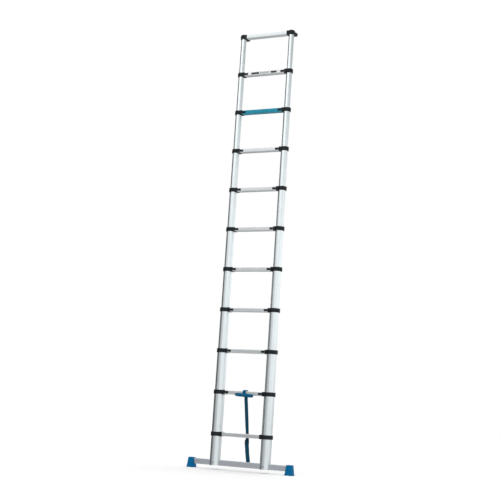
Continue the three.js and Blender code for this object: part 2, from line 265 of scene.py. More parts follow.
def cut_away(piece, *cutters, operation="DIFFERENCE"):
    """Cuts closed shapes out of a piece, or does another operation, and applies the result."""
    for cutter in cutters:
        modifier = piece.modifiers.new("cut", "BOOLEAN")
        modifier.operation = operation
        modifier.object = cutter
        modifier.solver = "EXACT"
    depsgraph = bpy.context.evaluated_depsgraph_get()
    result = bpy.data.meshes.new_from_object(piece.evaluated_get(depsgraph))
    piece.modifiers.clear()
    piece.data = result
    for cutter in cutters:
        bpy.data.objects.remove(cutter)
    return piece


def join_to(piece, *others):
    """Joins closed shapes to a piece."""
    return cut_away(piece, *others, operation="UNION")


def plain_box(low, high):
    """A sharp box between two opposite corners, for cutting."""
    low, high = np.minimum(low, high), np.maximum(low, high)
    size, middle = high - low, (high + low) / 2
    outline = np.array([[-1, -1], [1, -1], [1, 1], [-1, 1]]) * size[:2] / 2
    cutter = surface("cutter", carried(outline, [low[2], high[2]], 2))
    return shift(cutter, middle[0], middle[1])


def moulded(name, dark, light, grain=900.0, roughness=(0.42, 0.6), depth=0.00004, gloss=0.3):
    """Moulded plastic or rubber: a fine pebbled grain of noise in its height and roughness, and
    slow clouds between a darker and a lighter tone of its colour."""
    material, tree, shader = new_material(name, sum(roughness) / 2, 0.0)
    shader.inputs["Specular IOR Level"].default_value = gloss
    pebbles = stretched_noise(tree, (grain, grain, grain), 2.0)
    clouds = stretched_noise(tree, (40.0, 40.0, 40.0), 4.0)
    tint = spread(tree, clouds, 0.0, 1.0, 0.35, 0.65)
    tree.links.new(blend_colours(tree, tint, dark, light), shader.inputs["Base Color"])
    tree.links.new(spread(tree, pebbles, *roughness), shader.inputs["Roughness"])
    bump = add_node(tree, "ShaderNodeBump", {"Height": pebbles, "Distance": depth, "Strength": 0.7})
    tree.links.new(bump.outputs["Normal"], shader.inputs["Normal"])
    return material


blue_rubber = moulded(
    "blue rubber", (0.0, 0.112, 0.258), (0.0, 0.165, 0.385), grain=700.0,
    roughness=(0.5, 0.68), depth=0.00006, gloss=0.08,
)


def foot_block(name, low, high):
    """Rounded rectangles stacked from sole to top. Width and depth shrink in a straight line,
    the band round the sole stands out, and the last edge is a quarter circle."""
    height = high[2] - low[2]
    turn = np.linspace(0, math.pi / 2, 6)
    sole = SOLE_EDGE * np.array([0.0, 0.35, 1.0])
    band = FOOT_BAND_HEIGHT + np.array([0.0, FOOT_BAND_INSET])
    top = height - FOOT_EDGE * (1 - np.sin(turn))
    top_inset = FOOT_BAND_INSET + FOOT_EDGE * (1 - np.cos(turn))
    level = np.concatenate([sole, band, top])
    inset = np.concatenate([sole[::-1], [0.0, FOOT_BAND_INSET], top_inset])
    share = level / height
    rows = []
    for t, d in zip(share, inset):
        width = FOOT_SOLE[0] + (FOOT_TOP[0] - FOOT_SOLE[0]) * t - 2 * d
        depth = FOOT_SOLE[1] + (FOOT_TOP[1] - FOOT_SOLE[1]) * t - 2 * d
        rows.append(rounded_rectangle(width, depth, FOOT_CORNER - min(d, FOOT_CORNER * 0.7)))
    middle = (np.array(low) + np.array(high)) / 2
    return shift(surface(name, carried(np.stack(rows), low[2] + level, 2)), middle[0], middle[1])


SIDES = (("left", -1), ("right", 1))
for side, outwards in SIDES:
    low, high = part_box(f"foot_{side}")
    foot = foot_block(f"foot_{side}_rubber", low, high)
    mouth = outwards * (min(abs(low[0]), abs(high[0])) - PAST)
    stop = outwards * (bar_high[0] + SOCKET_GAP)
    socket_low, socket_high = bar_low[1:] - SOCKET_GAP, bar_high[1:] + SOCKET_GAP
    cutters = [plain_box((mouth, *socket_low), (stop, *socket_high))]
    for y in FOOT_GROOVES:
        groove_low = (low[0] - PAST, y - GROOVE_HALF_WIDTH, -PAST)
        groove_high = (high[0] + PAST, y + GROOVE_HALF_WIDTH, SOLE_GROOVE_DEPTH)
        cutters.append(plain_box(groove_low, groove_high))
    soften(cut_away(foot, *cutters))
    finish_piece(foot, blue_rubber, "section_01", "foot_blue", f"foot_{side}")

# ----------------------------------------------------------
# Stile tubes: ten round drawn aluminium tubes a side, 2 mm less in radius from one to the next.
# Each has the hole of its own latch pin near its top, and the sliding ones have the lock hole
# in their overlapped lower end. The base tubes are notched over the bar.
# ----------------------------------------------------------
BASE_RADIUS = 0.038
RADIUS_STEP = 0.002
TUBE_WALL = 0.0015
TUBE_SEGMENTS = 72
TUBE_EDGE = 0.0003
PIN_HOLE = 0.0046
BOLT_HOLE = 0.0045
RUNG_PITCH = 0.3
SECTION_COUNT = 10
stile_x = sum(box[0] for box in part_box("tube_right_01")) / 2
first_rung_z = sum(box[2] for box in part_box("rung_01")) / 2
bolt_z = sum(box[2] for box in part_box("stabiliser_bolt_left")) / 2


def turned(name, profile, segments=TUBE_SEGMENTS, solid=False):
    """A profile of (radius, height) points turned about Z: point i at angle a lies at
    (radius cos a, radius sin a, height). A closed profile makes a ring, an open one a solid."""
    profile = np.asarray(profile, float)
    angle = np.linspace(0, 2 * math.pi, segments, endpoint=False)
    grid = np.empty((len(profile), segments, 3))
    grid[..., 0] = profile[:, :1] * np.cos(angle)
    grid[..., 1] = profile[:, :1] * np.sin(angle)
    grid[..., 2] = profile[:, 1:]
    return surface(name, grid, tube=not solid)


def lay_along(piece, axis):
    """Turns a mesh that stands along Z so that it lies along X or Y."""
    places = np.empty(len(piece.data.vertices) * 3, dtype=np.float32)
    piece.data.vertices.foreach_get("co", places)
    x, y, z = places.reshape(-1, 3).T
    turned_places = np.stack([z, x, y] if axis == 0 else [y, z, x], axis=1)
    piece.data.vertices.foreach_set("co", turned_places.ravel())
    piece.data.update()
    return piece


def rod(radius, axis, start, end, x=0.0, y=0.0, z=0.0, segments=24):
    """A plain rod from start to end along an axis, through (x, y, z), for cutting and for pins."""
    piece = turned("rod", [(radius, min(start, end)), (radius, max(start, end))], segments, True)
    if axis < 2:
        lay_along(piece, axis)
    return shift(piece, x, y, z)


tube_aluminium = drawn_aluminium(
    "tube aluminium", (0.79, 0.855, 0.875), (0.86, 0.925, 0.945), along=2, roughness=(0.24, 0.36)
)


def tube_radius(section):
    """The outer radius: the base tube's, less one step for each section above the first."""
    return BASE_RADIUS - RADIUS_STEP * (section - 1)


def stile_tube(name, section, outwards):
    """A ring profile of the wall, with a small chamfer at each rim, turned and then drilled."""
    low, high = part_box(f"tube_{'left' if outwards < 0 else 'right'}_{section:02d}")
    radius, bottom, top = tube_radius(section), low[2], high[2]
    bore, edge = radius - TUBE_WALL, TUBE_EDGE
    profile = [
        (bore + edge, bottom), (radius - edge, bottom), (radius, bottom + edge),
        (radius, top - edge), (radius - edge, top), (bore + edge, top),
        (bore, top - edge), (bore, bottom + edge),
    ]
    tube = shift(turned(name, profile), outwards * stile_x)
    own_rung = first_rung_z + RUNG_PITCH * section
    heights = [own_rung] if section < SECTION_COUNT else []
    if section > 1:
        heights.append(own_rung - RUNG_PITCH)
    x = outwards * stile_x
    inwards = -outwards * (radius + RADIUS_STEP)
    cutters = [rod(PIN_HOLE, 0, 0, inwards, x, 0, z) for z in heights]
    if section == 1:
        reach = radius + 0.001
        cutters.append(rod(BOLT_HOLE, 1, -reach, reach, x, 0, bolt_z))
        half = bar_depth / 2 + SOCKET_GAP
        notch_top = bar_high[2] + SOCKET_GAP
        cutters.append(plain_box((x - reach, -half, bottom - 0.001), (x + reach, half, notch_top)))
    return soften(cut_away(tube, *cutters), 40)


for section in range(1, SECTION_COUNT + 1):
    for side, outwards in SIDES:
        node = f"tube_{side}_{section:02d}"
        tube = stile_tube(f"{node}_drawn", section, outwards)
        finish_piece(tube, tube_aluminium, f"section_{section:02d}", "tube_aluminium", node)

# ----------------------------------------------------------
# Stabiliser bolts: zinc-plated hexagon bolts that tie each base tube to the bar, with the head
# and its washer in front and the nut behind.
# ----------------------------------------------------------
BOLT_SHANK = 0.004
BOLT_ACROSS_CORNERS = 0.014
WASHER_RADIUS, WASHER_THICKNESS = 0.0078, 0.001
HEAD_CHAMFER, HEAD_FLAT_SHARE = 0.0008, 0.88


def scratched_steel(name):
    """Zinc-plated steel: bright metal whose roughness and tone follow small clouds."""
    material, tree, shader = new_material(name, 0.35, 1.0)
    clouds = stretched_noise(tree, (300.0, 300.0, 300.0), 5.0)
    tint = spread(tree, clouds, 0.0, 1.0)
    tone = blend_colours(tree, tint, (0.42, 0.43, 0.45), (0.6, 0.61, 0.63))
    tree.links.new(tone, shader.inputs["Base Color"])
    tree.links.new(spread(tree, clouds, 0.25, 0.5), shader.inputs["Roughness"])
    return material


zinc_steel = scratched_steel("zinc-plated steel")


def hexagon_head(name, radius, start, end):
    """A six-sided prism along Z with its outer face's corners turned off in a shallow cone."""
    angle = np.linspace(0, 2 * math.pi, 6, endpoint=False)
    outline = np.stack([np.cos(angle), np.sin(angle)], axis=1) * radius
    chamfer = HEAD_CHAMFER * (1 if end > start else -1)
    rows = np.stack([outline, outline, outline * HEAD_FLAT_SHARE])
    return surface(name, carried(rows, [start, end - chamfer, end], 2))


for side, outwards in SIDES:
    low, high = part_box(f"stabiliser_bolt_{side}")
    face = BASE_RADIUS + 0.0002
    seat = face + 0.0008
    parts = [
        hexagon_head("head", BOLT_ACROSS_CORNERS / 2, -seat, low[1]),
        hexagon_head("nut", BOLT_ACROSS_CORNERS / 2, seat, high[1]),
        rod(WASHER_RADIUS, 2, -face - WASHER_THICKNESS, -face),
        rod(WASHER_RADIUS, 2, face, face + WASHER_THICKNESS),
    ]
    bolt = join_to(rod(BOLT_SHANK, 2, -face - 0.002, face + 0.002), *parts)
    bolt.name = f"stabiliser_bolt_{side}_steel"
    soften(shift(lay_along(bolt, 1), outwards * stile_x, 0, bolt_z))
    finish_piece(bolt, zinc_steel, "section_01", "bolt_steel", f"stabiliser_bolt_{side}")

# ----------------------------------------------------------
# Connectors: black glass-filled nylon mouldings. A collar with rounded rims grips the tube below
# and guides the one that slides through it, and a socket beside it takes the end of the tread.
# ----------------------------------------------------------
COLLAR_HALF = 0.01475
COLLAR_WALL = 0.006
COLLAR_RIM = 0.0022
COLLAR_GROOVE = (0.0006, 0.0009)
COLLAR_GROOVE_Z = 0.0075
LIP_CLEARANCE = 0.0004
SEAT_CLEARANCE = 0.0002
SOCKET_LENGTH = 0.013
SOCKET_HALF_DEPTH = 0.024
SOCKET_HALF_HEIGHT = 0.016
SOCKET_EDGE = 0.0022
SOCKET_START = 0.45  # where the socket begins inside its collar, as a share of the radius
POCKET_DEPTH = 0.008
POCKET_GAP = 0.0001
LEAD_IN = 0.0018  # how far the mouth that guides a tube opens out
BORE_REACH = 0.03
TREAD_DEPTH = 0.044
TREAD_HEIGHT = 0.028
TUBE_TOP_ABOVE_RUNG = 0.0104
RUNG_COUNT = SECTION_COUNT + 1

black_nylon = moulded(
    "black nylon", (0.005, 0.008, 0.010), (0.011, 0.016, 0.019), 1100.0, (0.34, 0.5), gloss=0.25
)


def collar_outline(outer):
    """The collar's outside from its lower rim to its upper rim, as (radius, height): quarter
    circles at the rims, and a shallow moulded groove below the upper one."""
    turn = np.linspace(0, math.pi / 2, 6)
    lower = np.stack(
        [outer - COLLAR_RIM * (1 - np.sin(turn)), -COLLAR_HALF + COLLAR_RIM * (1 - np.cos(turn))], 1
    )
    upper = lower[::-1] * [1, -1]
    depth, half = COLLAR_GROOVE
    middle = COLLAR_GROOVE_Z
    groove = [
        (outer, middle - half * 2), (outer - depth, middle - half),
        (outer - depth, middle + half), (outer, middle + half * 2),
    ]
    return np.concatenate([lower, groove, upper])


def section_under(rung):
    """The section that carries a rung: the first carries two, and each other one carries one."""
    return max(1, rung - 1)


def has_latch(rung):
    """Every rung but the lowest and the topmost has a latch at each end."""
    return 1 < rung < RUNG_COUNT


def rung_height(rung):
    """The height of a rung's middle: the first rung's, and one pitch more for each above it."""
    return first_rung_z + RUNG_PITCH * (rung - 1)


def connector(name, rung, outwards):
    """The collar's turned outside joined to the rounded socket, less the turned bore, the pocket
    for the tread and the pin's hole. Built round the stile's axis, then moved into place."""
    radius = tube_radius(section_under(rung))
    inwards = -outwards
    body = turned(name, collar_outline(radius + COLLAR_WALL), solid=True)
    start, end = inwards * SOCKET_START * radius, inwards * (radius + SOCKET_LENGTH)
    socket_low = (start, -SOCKET_HALF_DEPTH, -SOCKET_HALF_HEIGHT)
    socket_high = (end, SOCKET_HALF_DEPTH, SOCKET_HALF_HEIGHT)
    socket = rounded_box("socket", socket_low, socket_high, SOCKET_EDGE)
    seat = radius + SEAT_CLEARANCE
    shoulder = TUBE_TOP_ABOVE_RUNG + SEAT_CLEARANCE
    bore = [(seat, -BORE_REACH), (seat, BORE_REACH)]
    if has_latch(rung):
        guide, mouth = radius - RADIUS_STEP + LIP_CLEARANCE, COLLAR_HALF + LEAD_IN / 3
        bore = [
            (seat, -BORE_REACH), (seat, shoulder), (guide, shoulder),
            (guide, mouth - LEAD_IN), (guide + LEAD_IN, mouth), (guide + LEAD_IN, BORE_REACH),
        ]
    if rung == RUNG_COUNT:
        bore = [(seat, -BORE_REACH), (seat, shoulder)]
    pocket_start = inwards * (radius + SOCKET_LENGTH - POCKET_DEPTH)
    pocket_end = inwards * (radius + BORE_REACH)
    pocket_y, pocket_z = TREAD_DEPTH / 2 + POCKET_GAP, TREAD_HEIGHT / 2 + POCKET_GAP
    pocket = plain_box((pocket_start, -pocket_y, -pocket_z), (pocket_end, pocket_y, pocket_z))
    cutters = [turned("bore", bore, solid=True), pocket]
    if has_latch(rung):
        cutters.append(rod(PIN_HOLE, 0, 0, inwards * (radius + 2 * COLLAR_WALL)))
    join_to(body, socket, *(top_cap(radius) if rung == RUNG_COUNT else []))
    cut_away(body, *cutters)
    return soften(shift(body, outwards * stile_x, 0, rung_height(rung)))


# ----------------------------------------------------------
# Top caps: the last two connectors are closed by a low dome, and a ribbed pad moulded on the
# back keeps the ladder's top off the wall that it leans on.
# ----------------------------------------------------------
CAP_DOME = 0.010
PAD_START, PAD_REACH = 0.008, 0.058
PAD_LOW, PAD_HIGH = -0.009, 0.013
PAD_EDGE = 0.0012
PAD_GROOVES = (-0.0025, 0.0055)
PAD_GROOVE_HALF = (0.0012, 0.0005)  # at the surface, and at the bottom of the groove
NECK, WAIST, FACE = 0.019, 0.028, 0.024  # half the pad's width from the collar to the wall


def top_cap(radius):
    """The dome is turned: its radius falls with the cosine of the angle as its height rises with
    the sine. The pad is a plan with rounded corners, stacked along Z, with two grooves round it."""
    outer = radius + COLLAR_WALL
    turn = np.linspace(0, math.pi / 2, 9)[:-1]
    dome = np.stack([0.004 + (outer - 0.0065) * np.cos(turn), CAP_DOME * np.sin(turn)], 1)
    dome[:, 1] += COLLAR_HALF - 0.0005
    right_side = np.array([
        (NECK, PAD_START), (WAIST, PAD_REACH - 0.009), (WAIST - 0.001, PAD_REACH - 0.005),
        (FACE, PAD_REACH - 0.001), (FACE - 0.003, PAD_REACH),
    ])
    plan = np.concatenate([right_side, right_side[::-1] * [-1, 1]])
    outside, inside = PAD_GROOVE_HALF
    levels, insets = [PAD_LOW, PAD_LOW + PAD_EDGE], [PAD_EDGE, 0.0]
    for groove in PAD_GROOVES:
        levels += [groove - outside, groove - inside, groove + inside, groove + outside]
        insets += [0.0, PAD_EDGE, PAD_EDGE, 0.0]
    levels += [PAD_HIGH - PAD_EDGE, PAD_HIGH]
    insets += [0.0, PAD_EDGE]
    centre = np.array([0.0, PAD_REACH / 2])
    rows = np.stack([centre + (plan - centre) * (1 - inset / FACE) for inset in insets])
    return [turned("dome", dome, solid=True), surface("pad", carried(rows, levels, 2))]


for rung in range(1, RUNG_COUNT + 1):
    body = f"section_{section_under(rung):02d}"
    for side, outwards in SIDES:
        word = "cap" if rung == RUNG_COUNT else "collar"
        piece = connector(f"{word}_{side}_{rung:02d}", rung, outwards)
        finish_piece(piece, black_nylon, body, "collar_black", f"rung_{rung:02d}")

# ----------------------------------------------------------
# Treads: hollow aluminium extrusions with a grooved top, pressed into their two connectors. The
# ninth is powder coated blue, and those with latches have a slot at each end of the front.
# ----------------------------------------------------------
TREAD_WALL = 0.002
TREAD_CORNER = 0.004
TREAD_GROOVES = 7
GROOVE_DEPTH, GROOVE_FLANK, GROOVE_MARGIN = 0.0009, 0.0005, 0.0008
TREAD_END_GAP = 0.0008
BLUE_RUNG = 9
LATCH_TRAVEL = 0.012
STEM_START, STEM_END = 0.018, 0.025
STEM_HALF_HEIGHT = 0.003
SLOT_GAP = 0.0005


def tread_profile():
    """A rounded rectangle in (y, z) with an evenly grooved top: of every four points along it, the
    last two lie lower by the groove's depth, and are moved apart to make its sides steeper."""
    steps = 6
    corners = rounded_rectangle(TREAD_DEPTH, TREAD_HEIGHT, TREAD_CORNER, steps)
    flat = TREAD_DEPTH / 2 - TREAD_CORNER - GROOVE_MARGIN
    count = TREAD_GROOVES * 4 + 1
    y = np.linspace(flat, -flat, count)
    phase = np.arange(count) % 4
    drop = np.where((phase == 2) | (phase == 3), GROOVE_DEPTH, 0.0)
    y = y + np.where(phase == 2, GROOVE_FLANK, 0.0) - np.where(phase == 3, GROOVE_FLANK, 0.0)
    top = np.stack([y, TREAD_HEIGHT / 2 - drop], axis=1)
    return np.concatenate([corners[:steps], top, corners[steps:]])


def latch_slot(edge, outwards):
    """A box through the tread's front wall, for cutting: the latch's stem and its travel."""
    start = outwards * (edge - STEM_END - LATCH_TRAVEL - SLOT_GAP)
    end = outwards * (edge - STEM_START + SLOT_GAP)
    half = STEM_HALF_HEIGHT + SLOT_GAP
    inside = -TREAD_DEPTH / 2 + 2 * TREAD_WALL
    return plain_box((start, -TREAD_DEPTH, -half), (end, inside, half))


tread_aluminium = drawn_aluminium(
    "tread aluminium", (0.63, 0.66, 0.67), (0.71, 0.74, 0.755), along=0, roughness=(0.26, 0.42)
)
blue_coat = moulded(
    "blue powder coat", (0.0, 0.26, 0.385), (0.0, 0.32, 0.46), grain=1500.0,
    roughness=(0.28, 0.38), depth=0.00002, gloss=0.3,
)
for rung in range(1, RUNG_COUNT + 1):
    edge = stile_x - tube_radius(section_under(rung))
    end = edge - SOCKET_LENGTH + POCKET_DEPTH - TREAD_END_GAP
    outer = tread_profile()
    inner = outer * [1 - 2 * TREAD_WALL / TREAD_DEPTH, 1 - 2 * TREAD_WALL / TREAD_HEIGHT]
    rows = np.stack([outer, outer, inner, inner])
    tread = surface(f"tread_{rung:02d}", carried(rows, [-end, end, end, -end], 0), tube=True)
    if has_latch(rung):
        cut_away(tread, latch_slot(edge, -1), latch_slot(edge, 1))
    soften(shift(tread, z=rung_height(rung)))
    body = f"section_{section_under(rung):02d}"
    material, slot = tread_aluminium, "tread_aluminium"
    if rung == BLUE_RUNG:
        material, slot = blue_coat, "blue_tread"
    finish_piece(tread, material, body, slot, f"rung_{rung:02d}")

# ----------------------------------------------------------
# Rating label: a printed film stuck on the front of the tenth tread. It has black end blocks and
# a pale middle with plain grey bars in place of any wording.
# ----------------------------------------------------------
LABEL_RUNG = 10
LABEL_HALF_WIDTH, LABEL_HALF_HEIGHT = 0.119, 0.0085
LABEL_BLOCKS = (("left", -0.104, -0.041), ("right", 0.055, 0.103))
BLOCK_HALF_HEIGHT = 0.0075
LINE_START, LINE_ENDS = -0.033, (0.047, 0.036, 0.042)
LINE_HALF_HEIGHT, LINE_PITCH = 0.0012, 0.0045
FILM = 0.0002


def printed_film(name, colour):
    """Printed vinyl: an even ink with faint mottling in its tone and gloss."""
    material, tree, shader = new_material(name, 0.35, 0.0)
    mottle = stretched_noise(tree, (500.0, 500.0, 500.0), 3.0)
    tint = spread(tree, mottle, 0.0, 1.0)
    paler = tuple(min(1.0, c * 1.12 + 0.004) for c in colour)
    tree.links.new(blend_colours(tree, tint, colour, paler), shader.inputs["Base Color"])
    tree.links.new(spread(tree, mottle, 0.3, 0.42), shader.inputs["Roughness"])
    return material


black_ink = printed_film("black ink", (0.012, 0.012, 0.014))
white_film = printed_film("white film", (0.86, 0.87, 0.88))
grey_ink = printed_film("grey ink", (0.22, 0.23, 0.24))


def film_patch(name, ends, z, half_height, layer, material, slot):
    """A thin plate on the tread's front, rounded at its edges, in the given layer of film."""
    front = -TREAD_DEPTH / 2 - FILM * layer
    middle = rung_height(LABEL_RUNG)
    low = (ends[0], front, middle + (z - half_height))
    high = (ends[1], front + FILM, middle + (z + half_height))
    patch = soften(rounded_box(name, low, high, FILM * 0.4))
    return finish_piece(patch, material, f"section_{section_under(LABEL_RUNG):02d}", slot)


label_ends = (-LABEL_HALF_WIDTH, LABEL_HALF_WIDTH)
film_patch("label_film", label_ends, 0.0, LABEL_HALF_HEIGHT, 1, white_film, "tread_aluminium")
for side, *ends in LABEL_BLOCKS:
    name = f"label_block_{side}"
    film_patch(name, ends, 0.0, BLOCK_HALF_HEIGHT, 2, black_ink, "collar_black")
for row, line_end in enumerate(LINE_ENDS):
    name, ends, z = f"label_bar_{row + 1}", (LINE_START, line_end), LINE_PITCH - LINE_PITCH * row
    film_patch(name, ends, z, LINE_HALF_HEIGHT, 2, grey_ink, "tread_aluminium")

# ----------------------------------------------------------
# Thumb latches: black nylon tabs with grip ribs, on a stem that runs in the tread's slot to the
# pin that locks the stile. A spring inside the tread pushes each one outwards.
# ----------------------------------------------------------
TAB_START, TAB_END = 0.014, 0.041
TAB_THICKNESS, TAB_HALF_HEIGHT = 0.003, 0.008
TAB_EDGE, TAB_CORNER, TAB_GAP = 0.0008, 0.0016, 0.0003
RIB_COUNT, RIB_START, RIB_PITCH = 5, 0.003, 0.0034
RIB_RISE, RIB_HALF_WIDTH, RIB_HALF_HEIGHT, RIB_EDGE = 0.0009, 0.0009, 0.0062, 0.0006
PIN_RADIUS = 0.004
OVERLAP = 0.001  # how far the stem and the pin run into what they are joined to


def thumb_latch(name, rung, outwards):
    """A rounded plate with upright ribs at its inner end, joined to its stem and to its pin."""
    section = section_under(rung)
    edge = stile_x - tube_radius(section)
    back = -TREAD_DEPTH / 2 - TAB_GAP
    front = back - TAB_THICKNESS
    z = rung_height(rung)
    tab_low = (outwards * (edge - TAB_START), front + RIB_RISE, z - TAB_HALF_HEIGHT)
    tab_high = (outwards * (edge - TAB_END), back, z + TAB_HALF_HEIGHT)
    tab = rounded_box(name, tab_low, tab_high, TAB_EDGE, TAB_CORNER)
    parts = []
    for rib in range(RIB_COUNT):
        x = outwards * (edge - TAB_END + RIB_START + RIB_PITCH * rib)
        rib_low = (x - RIB_HALF_WIDTH, front, z - RIB_HALF_HEIGHT)
        rib_high = (x + RIB_HALF_WIDTH, back - TAB_THICKNESS / 2, z + RIB_HALF_HEIGHT)
        parts.append(rounded_box("rib", rib_low, rib_high, RIB_EDGE))
    stem_low = (outwards * (edge - STEM_START), back - OVERLAP, z - STEM_HALF_HEIGHT)
    stem_high = (outwards * (edge - STEM_END), PIN_RADIUS / 2, z + STEM_HALF_HEIGHT)
    parts.append(plain_box(stem_low, stem_high))
    root = edge - STEM_END + OVERLAP
    tip = stile_x - tube_radius(section + 1) - SOCKET_GAP
    parts.append(rod(PIN_RADIUS, 0, outwards * root, outwards * tip, 0, 0, z))
    return soften(join_to(tab, *parts))


for rung in range(2, RUNG_COUNT):
    for side, outwards in SIDES:
        node = f"latch_{side}_{rung:02d}"
        latch = thumb_latch(f"{node}_thumb_tab", rung, outwards)
        finish_piece(latch, black_nylon, node, "latch_black", node)

# ----------------------------------------------------------
# Carry strap handle: a blue moulded T. Its hook sits over the second tread, and the webbing is
# fixed in its rounded crossbar, which hangs in front.
# ----------------------------------------------------------
CROSSBAR_DROOP = 0.0030
CROSSBAR_HEIGHT = 0.025
CROSSBAR_TAPER, END_POWER, CORNER_POWER = 0.05, 14, 0.8
HOOK_X = 0.009
HOOK_WIDTH = 0.027
HOOK_TOP_SHARE = 0.76
HOOK_THICKNESS = 0.0065

blue_plastic = moulded(
    "blue plastic", (0.0, 0.082, 0.165), (0.0, 0.12, 0.25), 900.0, (0.4, 0.54), gloss=0.1
)
handle_low, handle_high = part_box("strap_handle")


def squarer(wave):
    """The wave's size taken to a power below one, with its sign, which fills out the corners."""
    return np.sign(wave) * np.abs(wave) ** CORNER_POWER


def crossbar(name, low, high):
    """Squarish ellipses carried along X. Their size follows the square root of one minus the end
    power of the place, so the ends close bluntly, and the right end hangs lower."""
    share = np.sin(np.linspace(-1, 1, 49) * math.pi / 2) * 0.999
    fullness = np.sqrt(1 - np.abs(share) ** END_POWER) * (1 - CROSSBAR_TAPER * share**2)
    angle = np.linspace(0, 2 * math.pi, 32, endpoint=False)
    low, high = np.array(low), np.array(high)
    middle, half = (low + high) / 2, (high - low) / 2
    grid = np.empty((len(share), len(angle), 3))
    grid[..., 0] = middle[0] + half[0] * share[:, None]
    grid[..., 1] = middle[1] + half[1] * fullness[:, None] * squarer(np.cos(angle))
    grid[..., 2] = middle[2] + half[2] * fullness[:, None] * squarer(np.sin(angle))
    grid[..., 2] -= CROSSBAR_DROOP * share[:, None]
    return surface(name, grid)


def smooth_path(points, count):
    """Evenly spaced points on a Catmull-Rom curve through the given ones: between two of them each
    coordinate is the cubic whose slopes are half the difference of the neighbours."""
    given = np.asarray(points, float)
    padded = np.concatenate([2 * given[:1] - given[1:2], given, 2 * given[-1:] - given[-2:-1]])
    t = np.linspace(0, 1, 40, endpoint=False)[:, None]
    pieces = []
    for a, b, c, d in zip(padded, padded[1:], padded[2:], padded[3:]):
        square, cube = 2 * a - 5 * b + 4 * c - d, 3 * b - a - 3 * c + d
        pieces.append(0.5 * (2 * b + (c - a) * t + square * t**2 + cube * t**3))
    curve = np.concatenate([*pieces, given[-1:]])
    travelled = np.concatenate([[0], np.cumsum(np.linalg.norm(np.diff(curve, axis=0), axis=1))])
    even = np.linspace(0, travelled[-1], count)
    return np.stack([np.interp(even, travelled, curve[:, k]) for k in range(3)], axis=1)


def band_grid(path, width, thickness, twist=None):
    """A flat band's cross-section, a thin rounded rectangle, carried along a path. Its width lies
    along X and its thickness across the path, both turned about the path by the twist angle."""
    along = np.gradient(path, axis=0)
    along /= np.linalg.norm(along, axis=1, keepdims=True)
    across = np.tile([1.0, 0.0, 0.0], (len(path), 1))
    across -= along * np.sum(across * along, axis=1, keepdims=True)
    across /= np.linalg.norm(across, axis=1, keepdims=True)
    through = np.cross(along, across)
    if twist is not None:
        c, s = np.cos(twist)[:, None], np.sin(twist)[:, None]
        across, through = across * c + through * s, through * c - across * s
    profile = rounded_rectangle(width, thickness, thickness * 0.45, 4)
    return (
        path[:, None, :]
        + profile[None, :, :1] * across[:, None, :]
        + profile[None, :, 1:] * through[:, None, :]
    )


hook_y = TREAD_DEPTH / 2 + 0.0006 + HOOK_THICKNESS / 2
hook_top = handle_high[2] - HOOK_THICKNESS / 2
tread_top = rung_height(2) + TREAD_HEIGHT / 2
hook_side = [
    (-hook_y - 0.001, 0.528), (-hook_y - 0.0005, 0.545), (-hook_y, tread_top - 0.002),
    (-hook_y * 0.72, hook_top - 0.0009), (-hook_y * 0.35, hook_top), (hook_y * 0.35, hook_top),
    (hook_y * 0.72, hook_top - 0.0009), (hook_y, tread_top - 0.002), (hook_y, tread_top - 0.014),
]
hook_path = smooth_path([(HOOK_X, y, z) for y, z in hook_side], 70)
crossbar_high = (handle_high[0], -hook_y + 0.001, handle_low[2] + CROSSBAR_HEIGHT)
handle = crossbar("strap_handle_moulding", handle_low, crossbar_high)
hook = band_grid(hook_path, HOOK_WIDTH, HOOK_THICKNESS)
taper = np.interp(hook_path[:, 2], [handle_low[2], hook_top], [1.0, HOOK_TOP_SHARE])
hook[..., 0] = HOOK_X + (hook[..., 0] - HOOK_X) * taper[:, None]
join_to(handle, surface("hook", hook))
soften(handle, 45)
finish_piece(handle, blue_plastic, "section_01", "handle_blue", "strap_handle")

# ----------------------------------------------------------
# Webbing: flat woven polyester, dark blue. The upper length hangs from the handle's crossbar and
# runs behind the first tread to the buckle. The lower one is folded double through the buckle
# and screwed to the back of the stabiliser bar.
# ----------------------------------------------------------
STRAP_WIDTH = 0.027
STRAP_THICKNESS = 0.0016
WEAVE_PITCH, WEAVE_SLANT, WARP_PITCH = 0.0022, 0.62, 0.0009
WAVE_PER_METRE = math.pi / 10  # the wave texture's own scale for one wave a metre


def webbing_uv(piece, rows, columns, length, width):
    """A UV map in metres: u runs round the band's cross-section, v along its length."""
    index = np.empty(len(piece.data.loops), dtype=np.int32)
    piece.data.loops.foreach_get("vertex_index", index)
    u = (index % columns) / columns * 2 * width
    v = (index // columns) / (rows - 1) * length
    layer = piece.data.uv_layers.new(name="weave")
    layer.data.foreach_set("uv", np.stack([u, v], axis=1).astype(np.float32).ravel())


